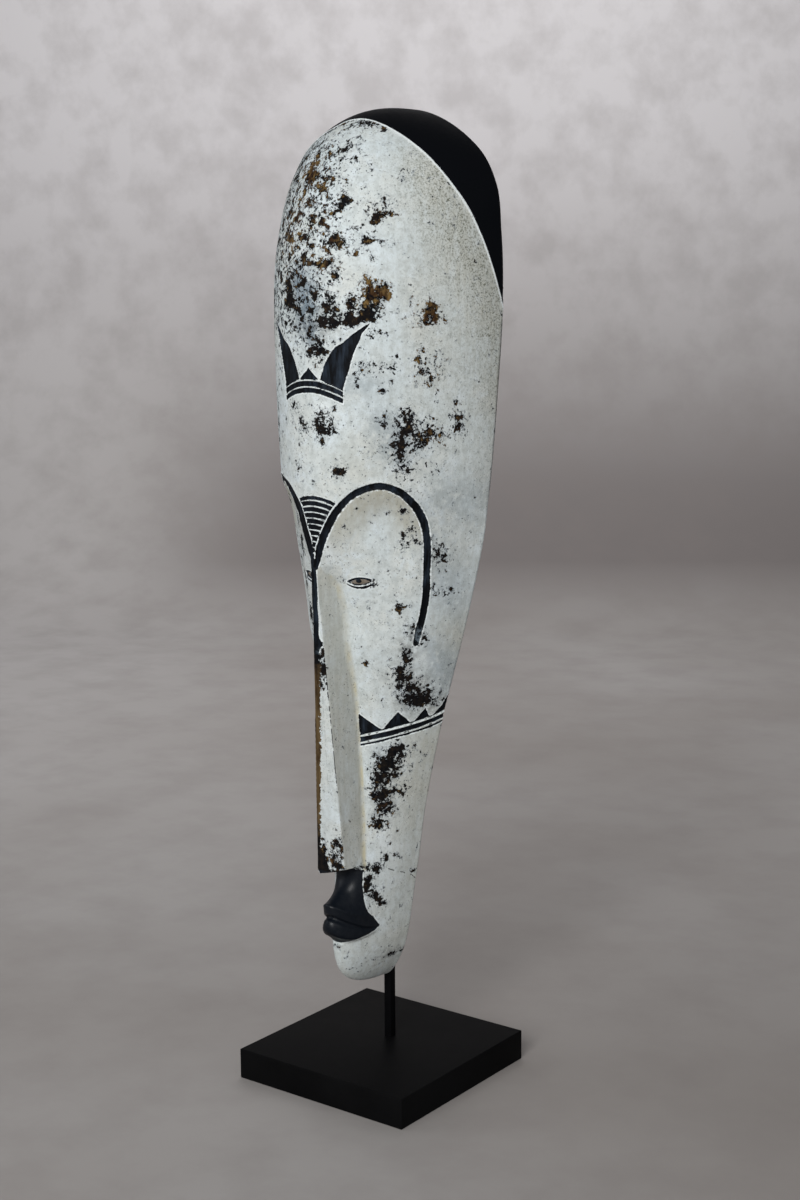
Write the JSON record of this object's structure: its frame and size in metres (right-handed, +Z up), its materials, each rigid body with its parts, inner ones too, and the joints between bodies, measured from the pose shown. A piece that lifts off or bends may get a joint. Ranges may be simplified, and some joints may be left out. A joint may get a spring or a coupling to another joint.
{
  "type": "carved mask on stand",
  "caption": "Tall narrow carved wooden mask with a white painted face, black coif and lips and a hollow back, on a square steel rod and square base plate.",
  "frame": {"origin": "middle of the base plate's underside", "axes": "+Z up through the mask to its crown, -Y the way the face looks, +X to the viewer's right"},
  "size_m": [0.231, 0.2172, 0.9301],
  "materials": {
    "painted_wood": "matt chalky paint, worn to the wood",
    "black_steel": "satin",
    "black_lacquer": "satin lacquer"
  },
  "bodies": {
    "root": {"mask": "painted_wood", "stand_rod": "black_steel", "base_plate": "black_lacquer"}
  },
  "joints": []
}
